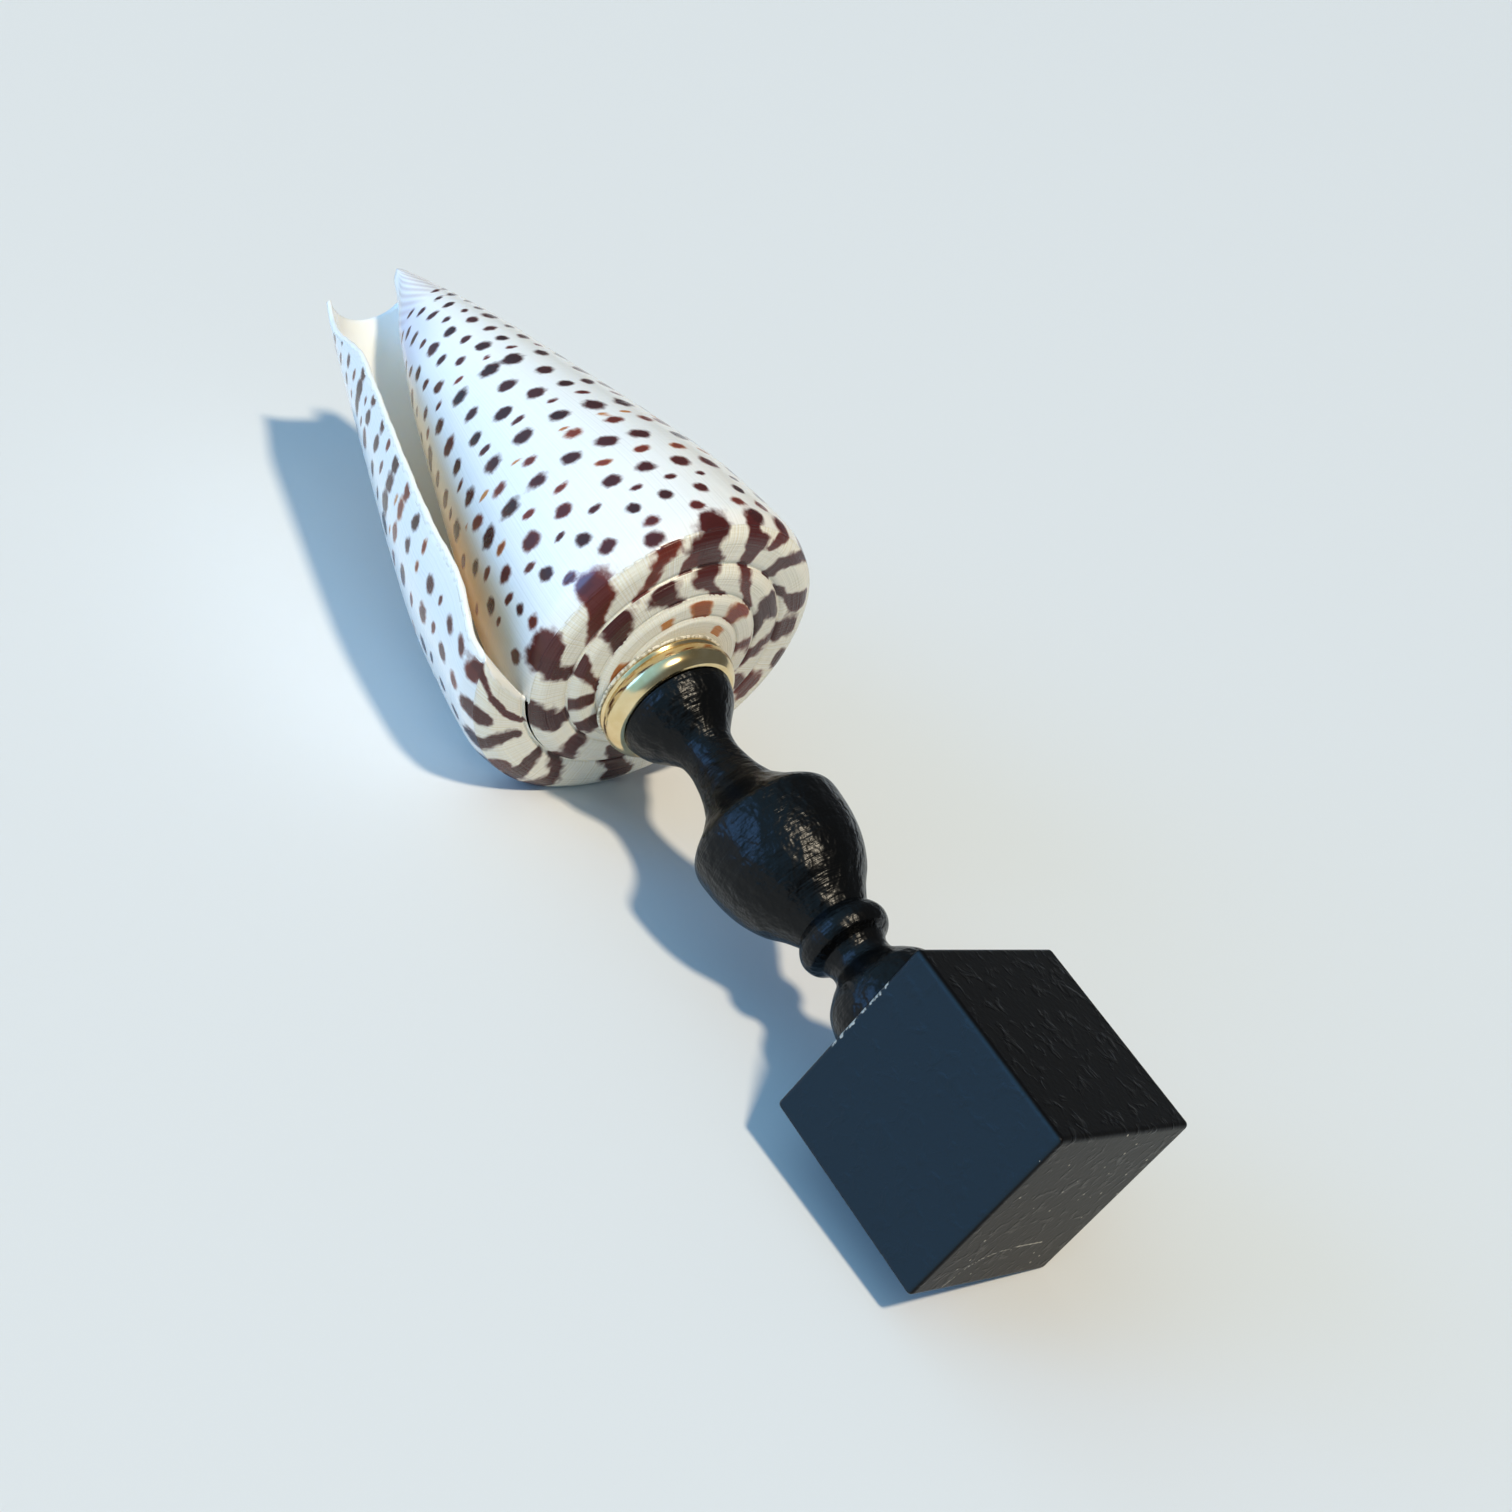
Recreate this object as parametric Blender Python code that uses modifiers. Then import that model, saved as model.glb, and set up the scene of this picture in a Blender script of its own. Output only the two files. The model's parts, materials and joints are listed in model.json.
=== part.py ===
"""A cone shell mounted as an ornament, laid on its side.

The shell stands spire down on a turned, black painted stem. A brass ring covers the joint, and the
stem rises from a square block. Each piece is modelled upright in the ornament's own frame: Z is the
stem's axis and Z = 0 is the block's underside. An empty then lays the whole ornament on its side, on
one lower corner of the block and on the back of the shell. Lengths below are in millimetres.
"""
import math

import bmesh
import bpy
import numpy as np

MM = 0.001
CONTACT_GAP = 0.3
# The ornament lies rolled about the stem's axis, off the block's edge and onto one corner of it
ROLL = math.radians(11.0)
# The shell's round back is flattened by this much where it rests, which keeps it from rolling
REST_FLAT = 0.65

# Block: almost a cube, its edges lightly rounded
BLOCK_WIDTH = 38.4
BLOCK_DEPTH = 40.8
BLOCK_HEIGHT = 39.2
BLOCK_EDGE_RADIUS = 0.8

# The stem stands a little off the block's centre
STEM_X = -1.2
STEM_Y = -0.6
STEM_SIDES = 28
TENON_RADIUS = 10.5
CUP_HEIGHT = 116.0
STEM_FOOT = BLOCK_HEIGHT + CONTACT_GAP
# Turned outline from the cup down to the foot, as (radius, height). Each list is one smooth stretch,
# and the outline has a crease where two stretches meet.
CUP_AND_NECK = [(11.3, CUP_HEIGHT), (10.8, 114.2), (9.8, 112.2), (7.4, 109.2), (5.7, 106.6),
                (5.2, 103.5), (5.5, 100.4), (6.3, 96.8), (7.7, 93.2)]
VASE = [(7.7, 93.2), (10.6, 89.8), (13.6, 87.0), (14.7, 85.3), (14.8, 82.6), (14.4, 78.2),
        (13.4, 74.0), (11.6, 70.0), (9.2, 66.7), (7.0, 63.0)]
BEAD = [(7.0, 63.0), (8.2, 61.2), (8.6, 59.5), (8.0, 57.7), (6.4, 56.5)]
COVE = [(6.4, 56.5), (5.7, 54.7), (6.1, 52.6), (8.4, 50.4)]
FOOT = [(8.4, 50.4), (10.2, 48.3), (11.2, 45.4), (11.5, 42.4), (11.8, STEM_FOOT)]

# Brass ring: a bulging band with a thin bead on its upper edge, round the stem's tenon
RING_BOTTOM = CUP_HEIGHT + CONTACT_GAP
RING_TOP = 122.1
RING_BORE = TENON_RADIUS + CONTACT_GAP
RING_SIDES = 36
RING_BAND = [(13.0, 121.0), (13.6, 119.9), (13.6, 118.6), (13.0, 117.3), (12.1, RING_BOTTOM)]
RING_BEAD = [(12.5, RING_TOP), (13.2, 121.9), (13.3, 121.3), (13.0, 121.0)]

# Shell. It is a spiral cone: each whorl is the last one turned back by a full turn and shrunk
# toward the apex by one ratio. "Back" is the angle in degrees from the lip back along the whorl.
# "Depth" is the distance from the apex toward the narrow end.
SHELL_X = 3.35
SHELL_Y = -0.65
APEX_HEIGHT = 119.9
WHORL_RATIO = 0.746
LIP_AZIMUTH = 265.4
SEAT_HEIGHT = RING_TOP + CONTACT_GAP
TURN = 360.0
COLUMNS_PER_TURN = 48
COLUMN_STEP = TURN / COLUMNS_PER_TURN
SPIRE_TURNS = 5
# Shoulder corner of the last whorl, where the whorl after it would be joined on
CORNER_RADIUS = 39.3
CORNER_DEPTH = 9.0
# Top of a whorl between its suture and its shoulder corner, as (radius, depth) at the lip
RAMP = [(33.0, 6.9), (37.2, 7.5)]
# Side of the last whorl at the lip, as (depth, radius)
FLANK = [(9.0, 39.3), (12.5, 40.3), (17.5, 40.2), (26.6, 39.3), (38.0, 37.7), (57.0, 33.3),
         (76.0, 28.2), (95.0, 23.0), (114.0, 17.7), (129.0, 12.6), (144.0, 6.7), (160.0, 0.0),
         (260.0, 0.0)]
FLANK_ROWS = 22
FLANK_CROWDING = 1.3
# Depth of the narrow end's rim round the shell, as (back, depth)
RIM = [(0.0, 120.6), (40.0, 121.0), (90.0, 121.6), (143.0, 121.9), (200.0, 121.4), (245.0, 120.8),
       (300.0, 120.6), (360.0, 119.8), (420.0, 118.8), (525.0, 117.4)]
# Near the narrow end the lip's edge curls back round the shell
CURL_START = 89.0
CURL_LENGTH = 32.0
CURL_ANGLE = 31.0
CURL_REACH = 90.0
# Aperture: a slit between the lip's wall and the whorl inside it, which leads to a hollow chamber
SLIT_COLUMNS = 11
LIP_WALL = 1.5
INNER_WALL = 1.7
WALL_REACH = 60.0
CHAMBER_LAST_ROW = 19
# Middles of the chamber's ceiling and of its narrow end, as (radius, depth), to one side of the axis
CHAMBER_AZIMUTH = 92.9
CHAMBER_CEILING = (8.0, 7.5)
CHAMBER_END = (5.0, 103.0)
# The slit's ceiling next to the suture, as (radius, depth), and the first side row under the wall
SLIT_CEILING = [(32.8, 9.4), (36.2, 10.3), (37.4, 12.0)]
SLIT_FIRST_ROW = 3
# The columella, the pillar that the whorls turn about, leans to one side at the narrow end
PILLAR_RADIUS = 3.2
PILLAR_TIP_RADIUS = 2.1
PILLAR_SIDE_AZIMUTH = 28.0
PILLAR_SIDE_SHIFT = 4.2
PILLAR_LEAN_START = 103.0
PILLAR_LEAN_LENGTH = 22.0
PILLAR_BACK_START = 230.0
PILLAR_BACK_LENGTH = 130.0
PILLAR_CREST_DEPTH = 121.0
PILLAR_CREST_AZIMUTH = 55.0
PILLAR_CREST_SHIFT = 6.3


def smooth_step(value):
    """Return a soft 0 to 1 ramp of value."""
    value = min(max(value, 0.0), 1.0)
    return value * value * (3.0 - 2.0 * value)


def curve_value(keys, x):
    """Return the height at x of a smooth curve through keys of (x, y)."""
    xs = np.array([key[0] for key in keys])
    ys = np.array([key[1] for key in keys])
    slopes = np.gradient(ys, xs)
    i = int(np.clip(np.searchsorted(xs, x) - 1, 0, len(xs) - 2))
    span = xs[i + 1] - xs[i]
    t = min(max((x - xs[i]) / span, 0.0), 1.0)
    rise = (2 * t ** 3 - 3 * t ** 2 + 1) * ys[i] + (3 * t ** 2 - 2 * t ** 3) * ys[i + 1]
    bend = (t ** 3 - 2 * t ** 2 + t) * slopes[i] + (t ** 3 - t ** 2) * slopes[i + 1]
    return rise + bend * span


def smooth_stretch(keys, pieces):
    """Return points on a smooth curve through (radius, height) keys, pieces to each gap."""
    keys = np.array(keys)
    steps = np.arange(len(keys), dtype=float)
    radii = list(zip(steps, keys[:, 0]))
    heights = list(zip(steps, keys[:, 1]))
    places = np.linspace(0.0, len(keys) - 1.0, (len(keys) - 1) * pieces + 1)
    return [(curve_value(radii, place), curve_value(heights, place)) for place in places]


def make_material(name, colour, roughness, metallic):
    """Return a Principled material with one colour."""
    material = bpy.data.materials.new(name)
    material.use_nodes = True
    shader = material.node_tree.nodes["Principled BSDF"]
    shader.inputs["Base Color"].default_value = (*colour, 1.0)
    shader.inputs["Roughness"].default_value = roughness
    shader.inputs["Metallic"].default_value = metallic
    return material


def add_object(name, mesh, material, collection):
    """Link a mesh as a named object with one material."""
    item = bpy.data.objects.new(name, mesh)
    collection.objects.link(item)
    mesh.materials.append(material)
    return item


def turned_piece(name, outline, closed, sides, material, collection):
    """Turn an outline of (radius, height) about the stem's axis."""
    mesh = bpy.data.meshes.new(name)
    points = [(radius * MM, 0.0, height * MM) for radius, height in outline]
    edges = [(i, i + 1) for i in range(len(points) - 1)]
    if closed:
        edges.append((len(points) - 1, 0))
    mesh.from_pydata(points, edges, [])
    piece = add_object(name, mesh, material, collection)
    screw = piece.modifiers.new("Turned", "SCREW")
    screw.axis = "Z"
    screw.steps = sides
    screw.render_steps = sides
    screw.use_merge_vertices = True
    screw.merge_threshold = 0.00002
    screw.use_smooth_shade = True
    piece.location = (STEM_X * MM, STEM_Y * MM, 0.0)
    return piece


def make_block(material, collection):
    """Make the square block with lightly rounded edges."""
    bpy.ops.mesh.primitive_cube_add(size=1.0)
    block = bpy.context.active_object
    block.name = "base_block"
    for owner in block.users_collection:
        owner.objects.unlink(block)
    collection.objects.link(block)
    for vertex in block.data.vertices:
        vertex.co.x *= BLOCK_WIDTH * MM
        vertex.co.y *= BLOCK_DEPTH * MM
        vertex.co.z *= BLOCK_HEIGHT * MM
    block.location = (0.0, 0.0, BLOCK_HEIGHT / 2 * MM)
    block.data.materials.append(material)
    bevel = block.modifiers.new("Worn edges", "BEVEL")
    bevel.width = BLOCK_EDGE_RADIUS * MM
    bevel.segments = 2
    return block


def make_stem(material, collection):
    """Turn the stem: tenon, cup, neck, vase, bead, cove and foot."""
    outline = [(0.0, RING_TOP), (TENON_RADIUS, RING_TOP), (TENON_RADIUS, CUP_HEIGHT)]
    for keys, pieces in ((CUP_AND_NECK, 1), (VASE, 1), (BEAD, 2), (COVE, 2), (FOOT, 1)):
        stretch = smooth_stretch(keys, pieces)
        if stretch[0] == outline[-1]:
            stretch = stretch[1:]
        outline.extend(stretch)
    outline.append((0.0, STEM_FOOT))
    return turned_piece("stem", outline, False, STEM_SIDES, material, collection)


def make_ring(material, collection):
    """Turn the brass ring, outer side first and then its plain bore."""
    outline = smooth_stretch(RING_BEAD, 1) + smooth_stretch(RING_BAND, 2)[1:]
    outline += [(RING_BORE, RING_BOTTOM), (RING_BORE, RING_TOP)]
    return turned_piece("brass_ring", outline, True, RING_SIDES, material, collection)


def whorl_scale(back):
    """Return the size of the whorl at an angle back from the lip."""
    return WHORL_RATIO ** (back / TURN)


def around_shell(back, radius, depth):
    """Return a point at an angle back from the lip, a radius from the axis and a depth."""
    angle = math.radians(LIP_AZIMUTH - back)
    height = APEX_HEIGHT + max(depth, SEAT_HEIGHT - APEX_HEIGHT)
    return np.array([SHELL_X + radius * math.cos(angle), SHELL_Y + radius * math.sin(angle), height])


def spire_point(back, key):
    """Return a point of the spire from its (radius, depth) at the lip."""
    scale = whorl_scale(back)
    return around_shell(back, key[0] * scale, key[1] * scale)


def curled_back(back, depth):
    """Return the angle back of a column near the lip, whose edge curls back at the narrow end."""
    curl = CURL_ANGLE * smooth_step((depth - CURL_START) / CURL_LENGTH)
    return back + curl * max(0.0, 1.0 - back / CURL_REACH)


def flank_depth(back, row):
    """Return the depth of a row on the shell's side."""
    start = CORNER_DEPTH * whorl_scale(back)
    end = curve_value(RIM, back)
    return start + (end - start) * (row / FLANK_ROWS) ** FLANK_CROWDING


def flank_point(back, row, wall=0.0):
    """Return a point on the shell's side, or on the inside of its wall."""
    depth = flank_depth(back, row)
    turned = curled_back(back, depth)
    scale = whorl_scale(turned)
    radius = scale * curve_value(FLANK, depth / scale)
    lean = smooth_step((depth - PILLAR_LEAN_START) / PILLAR_LEAN_LENGTH)
    pillar = PILLAR_RADIUS + (PILLAR_TIP_RADIUS - PILLAR_RADIUS) * lean ** 2
    radius = (radius ** 4 + pillar ** 4) ** 0.25 - wall
    point = around_shell(turned, radius, depth)
    side = math.radians(PILLAR_SIDE_AZIMUTH)
    shift = PILLAR_SIDE_SHIFT * lean * smooth_step((back - PILLAR_BACK_START) / PILLAR_BACK_LENGTH)
    return point + shift * np.array([math.cos(side), math.sin(side), 0.0])


def wall_thickness(back):
    """Return the wall's thickness, thin at the lip and thicker inside."""
    return LIP_WALL + (INNER_WALL - LIP_WALL) * smooth_step(back / WALL_REACH)


def make_shell(material, collection):
    """Loft the spiral shell: its stepped spire, its last whorl, the slit under the lip, the chamber."""
    form = bmesh.new()
    turn = COLUMNS_PER_TURN
    corner = (CORNER_RADIUS, CORNER_DEPTH)

    def vertex(point):
        return form.verts.new([value * MM for value in point])

    def face(*corners):
        form.faces.new(corners)

    corners = [vertex(spire_point(j * COLUMN_STEP, corner)) for j in range(turn * (SPIRE_TURNS + 1) + 1)]
    ramps = []
    for j in range(turn * SPIRE_TURNS + 1):
        middle = [vertex(spire_point(j * COLUMN_STEP, key)) for key in RAMP]
        ramps.append([corners[j + turn], *middle, corners[j]])
    for j in range(turn * SPIRE_TURNS):
        for i in range(len(RAMP) + 1):
            face(ramps[j][i], ramps[j][i + 1], ramps[j + 1][i + 1], ramps[j + 1][i])
    centre = vertex(around_shell(0.0, 0.0, 0.0))
    rim = corners[turn * SPIRE_TURNS:] + ramps[-1][1:-1]
    for i, start in enumerate(rim):
        face(start, rim[(i + 1) % len(rim)], centre)

    outside = []
    for j in range(turn + SLIT_COLUMNS + 1):
        back = j * COLUMN_STEP
        first = corners[j] if j <= turn else None
        outside.append([first] + [vertex(flank_point(back, row)) for row in range(1, FLANK_ROWS + 1)])
    for j in range(turn + SLIT_COLUMNS):
        top = 0 if j < turn else 1
        for i in range(top, FLANK_ROWS):
            face(outside[j][i], outside[j][i + 1], outside[j + 1][i + 1], outside[j + 1][i])

    # The wall's inside, row for row under the outside, as far back as the inner end of the whorl
    first, last = SLIT_FIRST_ROW, CHAMBER_LAST_ROW
    slit, end = SLIT_COLUMNS, turn + SLIT_COLUMNS
    inside = []
    for j in range(end + 1):
        back = j * COLUMN_STEP
        rows = range(first, (FLANK_ROWS if j <= slit else last) + 1)
        inside.append({row: vertex(flank_point(back, row, wall_thickness(back))) for row in rows})
    for j in range(end):
        for i in list(inside[j + 1])[:-1]:
            face(inside[j][i], inside[j + 1][i], inside[j + 1][i + 1], inside[j][i + 1])

    ceiling = []
    for j in range(slit + 1):
        under = [vertex(spire_point(j * COLUMN_STEP, key)) for key in SLIT_CEILING]
        ceiling.append([outside[j + turn][1], *under, inside[j][first]])
    for j in range(slit):
        for i in range(len(SLIT_CEILING) + 1):
            face(ceiling[j][i], ceiling[j + 1][i], ceiling[j + 1][i + 1], ceiling[j][i + 1])

    face(*ramps[0][:-1], *outside[0][:first + 1], *reversed(ceiling[0]))
    for i in range(first, FLANK_ROWS):
        face(outside[0][i], inside[0][i], inside[0][i + 1], outside[0][i + 1])

    # The slit's far end: a step above the chamber, the whorl's inner end, and a wall below it
    floor = outside[end]
    face(*ceiling[slit], *reversed(floor[2:first + 1]))
    for i in range(first, last):
        face(floor[i], inside[end][i], inside[end][i + 1], floor[i + 1])
    for i in range(last, FLANK_ROWS):
        face(inside[slit][i], inside[slit][i + 1], floor[i + 1], floor[i])
    for row, middle in ((first, CHAMBER_CEILING), (last, CHAMBER_END)):
        peak = vertex(around_shell(LIP_AZIMUTH - CHAMBER_AZIMUTH, *middle))
        loop = [inside[j][row] for j in range(slit, end + 1)] + [floor[row]]
        for i, start in enumerate(loop):
            face(start, loop[(i + 1) % len(loop)], peak)

    for j in range(slit):
        face(outside[j][-1], inside[j][FLANK_ROWS], inside[j + 1][FLANK_ROWS], outside[j + 1][-1])
    side = math.radians(PILLAR_CREST_AZIMUTH)
    crest = vertex((SHELL_X + PILLAR_CREST_SHIFT * math.cos(side),
                    SHELL_Y + PILLAR_CREST_SHIFT * math.sin(side),
                    APEX_HEIGHT + PILLAR_CREST_DEPTH))
    tip_rim = [column[-1] for column in outside[slit:]] + [inside[slit][FLANK_ROWS]]
    for i, start in enumerate(tip_rim):
        face(start, crest, tip_rim[(i + 1) % len(tip_rim)])

    bmesh.ops.recalc_face_normals(form, faces=form.faces)
    bmesh.ops.triangulate(form, faces=[one for one in form.faces if len(one.verts) > 4])
    mesh = bpy.data.meshes.new("shell")
    form.to_mesh(mesh)
    form.free()
    mesh.shade_smooth()
    mesh.set_sharp_from_angle(angle=math.radians(50.0))
    return add_object("shell", mesh, material, collection)


def upright_points(item):
    """Return an object's evaluated points in the ornament's upright frame."""
    bpy.context.view_layer.update()
    evaluated = item.evaluated_get(bpy.context.evaluated_depsgraph_get())
    return np.array([evaluated.matrix_world @ vertex.co for vertex in evaluated.data.vertices])


def upward(lean):
    """Return the upright frame's direction that points up when the ornament lies leaning by an angle."""
    return np.array([math.cos(ROLL) * math.cos(lean), -math.sin(ROLL) * math.cos(lean), math.sin(lean)])


def lean_of_ornament(block, shell):
    """Return the angle at which the block's lowest corner and the shell's flattened back are level."""
    block_points = upright_points(block)
    shell_points = upright_points(shell)
    low, high = 0.0, math.radians(30.0)
    for _ in range(50):
        middle = (low + high) / 2
        shell_height = (shell_points @ upward(middle)).min() + REST_FLAT * MM
        if shell_height < (block_points @ upward(middle)).min():
            low = middle
        else:
            high = middle
    return high


def flatten_rest(shell, lean):
    """Raise the shell's lowest points to one level plane, where it rests."""
    direction = upward(lean)
    heights = [direction @ np.array(vertex.co) for vertex in shell.data.vertices]
    level = min(heights) + REST_FLAT * MM
    for vertex, height in zip(shell.data.vertices, heights):
        if height < level:
            vertex.co = np.array(vertex.co) + direction * (level - height)


def lay_on_side(pieces, lean):
    """Parent the pieces to an empty that lays them down, with the origin under their middle."""
    carrier = bpy.data.objects.new("laid_on_side", None)
    bpy.context.scene.collection.objects.link(carrier)
    for piece in pieces:
        piece.parent = carrier
    carrier.rotation_mode = "ZYX"
    carrier.rotation_euler = (0.0, lean - math.radians(90.0), ROLL)
    points = np.concatenate([upright_points(piece) for piece in pieces])
    low, high = points.min(axis=0), points.max(axis=0)
    carrier.location = (-(low[0] + high[0]) / 2, -(low[1] + high[1]) / 2, -low[2])


def main():
    for item in list(bpy.data.objects):
        bpy.data.objects.remove(item, do_unlink=True)
    collection = bpy.data.collections.new("mounted_cone_shell")
    bpy.context.scene.collection.children.link(collection)
    shell_white = make_material("shell_white", (0.80, 0.74, 0.66), 0.22, 0.0)
    polished_brass = make_material("polished_brass", (0.78, 0.57, 0.22), 0.18, 1.0)
    black_gloss_paint = make_material("black_gloss_paint", (0.010, 0.010, 0.011), 0.28, 0.0)
    black_satin_paint = make_material("black_satin_paint", (0.014, 0.015, 0.017), 0.45, 0.0)
    block = make_block(black_satin_paint, collection)
    stem = make_stem(black_gloss_paint, collection)
    ring = make_ring(polished_brass, collection)
    shell = make_shell(shell_white, collection)
    lean = lean_of_ornament(block, shell)
    flatten_rest(shell, lean)
    lay_on_side([block, stem, ring, shell], lean)


main()
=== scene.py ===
"""The look of a mounted cone shell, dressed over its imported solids.

The sections follow the ornament as it is put together: the shell, the brass ring and its glue, the
turned stem and the block. The pale table, the light and the camera come last. Sizes are millimetres
in the ornament's own upright frame, where Z is the stem's axis and 0 is the block's underside.
"""
import json
import math

import bmesh
import bpy
import numpy as np
from mathutils import Matrix, Vector, noise


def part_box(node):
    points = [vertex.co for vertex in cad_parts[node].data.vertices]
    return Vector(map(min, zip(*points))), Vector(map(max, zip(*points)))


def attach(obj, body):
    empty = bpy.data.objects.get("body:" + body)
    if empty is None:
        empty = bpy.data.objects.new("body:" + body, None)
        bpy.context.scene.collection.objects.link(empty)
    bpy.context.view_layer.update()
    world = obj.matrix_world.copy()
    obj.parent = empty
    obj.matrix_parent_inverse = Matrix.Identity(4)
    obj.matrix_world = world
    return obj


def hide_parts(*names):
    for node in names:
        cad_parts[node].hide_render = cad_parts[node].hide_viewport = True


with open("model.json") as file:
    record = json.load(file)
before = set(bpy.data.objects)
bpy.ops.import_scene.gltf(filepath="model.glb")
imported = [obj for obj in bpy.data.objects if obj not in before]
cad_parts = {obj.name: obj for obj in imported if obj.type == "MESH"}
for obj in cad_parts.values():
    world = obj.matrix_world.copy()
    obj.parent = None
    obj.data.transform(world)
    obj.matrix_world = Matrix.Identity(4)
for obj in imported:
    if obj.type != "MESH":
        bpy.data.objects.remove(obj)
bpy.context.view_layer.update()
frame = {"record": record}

# How the ornament lies
# It was made to stand on its block, and it has been laid on its side, on one corner of the block and
# the back of the shell. The record gives the place and the outward direction of the block's
# underside. The roll about the stem brings the block's far corner down.
MM = 0.001
ROLL = math.radians(11.0)
underside = frame["record"]["mounts"][0]
lean = math.atan2(-underside["axis"][2], underside["axis"][0])
laid_down = (Matrix.Translation(underside["pos_m"]) @ Matrix.Rotation(lean - math.radians(90.0), 4, "Y")
             @ Matrix.Rotation(ROLL, 4, "Z"))


def lay_down(points):
    """Turn upright points in millimetres to points in metres as the ornament lies."""
    turn = np.array(laid_down.to_3x3())
    return np.asarray(points, float) @ turn.T * MM + np.array(laid_down.translation)


# The shell
# A large cone shell, aragonite with a natural gloss. It grew as a spiral cone: each whorl is the last
# one turned back by a full turn and shrunk toward the apex. The lip's wall leaves a long slit.
SHELL_X = 3.35
SHELL_Y = -0.65
APEX_HEIGHT = 119.9
SEAT_HEIGHT = 122.4
WHORL_RATIO = 0.746
LIP_AZIMUTH = 265.4
CORNER_RADIUS = 39.3
CORNER_DEPTH = 9.0
COLUMN_STEP = 1.5
SPIRE_TURNS = 5
SLIT_TURN = 165.0
# Top of a whorl at the lip from its suture to its shoulder corner, as (share of the way, depth)
RAMP = [(0.0, 6.7), (0.37, 6.9), (0.79, 7.5), (1.0, CORNER_DEPTH)]
RAMP_SHARES = np.array([0.0, 0.015, 0.04, 0.07, 0.1, 0.15, 0.22, 0.3, 0.38, 0.46, 0.54, 0.62, 0.7, 0.78,
                        0.85, 0.91, 0.96, 1.0])
SUTURE_DROP = 0.55
SUTURE_WIDTH = 0.09
# Side of the last whorl at the lip, as (depth, radius)
FLANK = [(9.0, 39.3), (12.5, 40.3), (17.5, 40.2), (26.6, 39.3), (38.0, 37.7), (57.0, 33.3),
         (76.0, 28.2), (95.0, 23.0), (114.0, 17.7), (129.0, 12.6), (144.0, 6.7), (160.0, 0.0),
         (260.0, 0.0)]
FLANK_ROWS = 150
FLANK_CROWDING = 1.15
FLOOR_ROW = 4
# Depth of the narrow end's rim round the shell, as (back, depth)
RIM = [(0.0, 120.6), (40.0, 121.0), (90.0, 121.6), (143.0, 121.9), (200.0, 121.4), (245.0, 120.8),
       (300.0, 120.6), (360.0, 119.8), (420.0, 118.8), (525.0, 117.4)]
CURL_START = 89.0
CURL_LENGTH = 32.0
CURL_ANGLE = 31.0
CURL_REACH = 90.0
NOTCH_ANGLE = 17.0
NOTCH_REACH = 60.0
RETREAT_ANGLE = 9.0
RETREAT_DEPTH = 27.0
LIP_WAVE = 0.15
FLOOR_START = 387.0
LIP_WALL = 1.3
INNER_WALL = 1.7
RIM_WALL = 1.0
WALL_REACH = 60.0
CEILING_DROP = 2.7
CEILING_INSET = 1.8
PILLAR_RADIUS = 3.2
PILLAR_TIP_RADIUS = 2.1
PILLAR_SIDE_AZIMUTH = 28.0
PILLAR_SIDE_SHIFT = 4.2
PILLAR_LEAN_START = 103.0
PILLAR_LEAN_LENGTH = 22.0
PILLAR_BACK_START = 230.0
PILLAR_BACK_LENGTH = 130.0
PILLAR_CREST = (55.0, 6.3, 121.0)


def smooth_step(value):
    """Return a soft 0 to 1 ramp of value."""
    value = np.clip(value, 0.0, 1.0)
    return value * value * (3.0 - 2.0 * value)


def curve_value(keys, x):
    """Return the height at x of a smooth curve through keys of (x, y)."""
    xs, ys = np.array(keys, float).T
    slopes = np.gradient(ys, xs)
    x = np.clip(x, xs[0], xs[-1])
    i = np.clip(np.searchsorted(xs, x) - 1, 0, len(xs) - 2)
    span = xs[i + 1] - xs[i]
    t = (x - xs[i]) / span
    rise = (2 * t ** 3 - 3 * t ** 2 + 1) * ys[i] + (3 * t ** 2 - 2 * t ** 3) * ys[i + 1]
    bend = (t ** 3 - 2 * t ** 2 + t) * slopes[i] + (t ** 3 - t ** 2) * slopes[i + 1]
    return rise + bend * span


def whorl_scale(back):
    """Return the size of the whorl at an angle in degrees back from the lip."""
    return WHORL_RATIO ** (back / 360.0)


def around_shell(back, radius, depth):
    """Return points at an angle back from the lip, a radius from the axis and a depth below the apex."""
    angle = np.radians(LIP_AZIMUTH - back)
    height = APEX_HEIGHT + np.maximum(depth, SEAT_HEIGHT - APEX_HEIGHT)
    return np.stack([SHELL_X + radius * np.cos(angle), SHELL_Y + radius * np.sin(angle), height], axis=-1)


def ramp_points(back, share):
    """Return points on the top of a whorl, with the suture's small step at its inner edge."""
    scale = whorl_scale(back)
    inner = CORNER_RADIUS * WHORL_RATIO
    radius = inner + (CORNER_RADIUS - inner) * share
    step = SUTURE_DROP * smooth_step(share / 0.03) * (1.0 - smooth_step(share / SUTURE_WIDTH - 0.4))
    depth = curve_value(RAMP, share) + step
    notch = (NOTCH_ANGLE * (1.0 - share) + RETREAT_ANGLE) * np.maximum(0.0, 1.0 - back / NOTCH_REACH)
    return around_shell(back + notch, radius * scale, depth * scale)


def flank_depth(back, share):
    """Return the depth at a share of the way from the shoulder corner to the narrow end's rim."""
    start = CORNER_DEPTH * whorl_scale(back)
    return start + (curve_value(RIM, back) - start) * share


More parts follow.
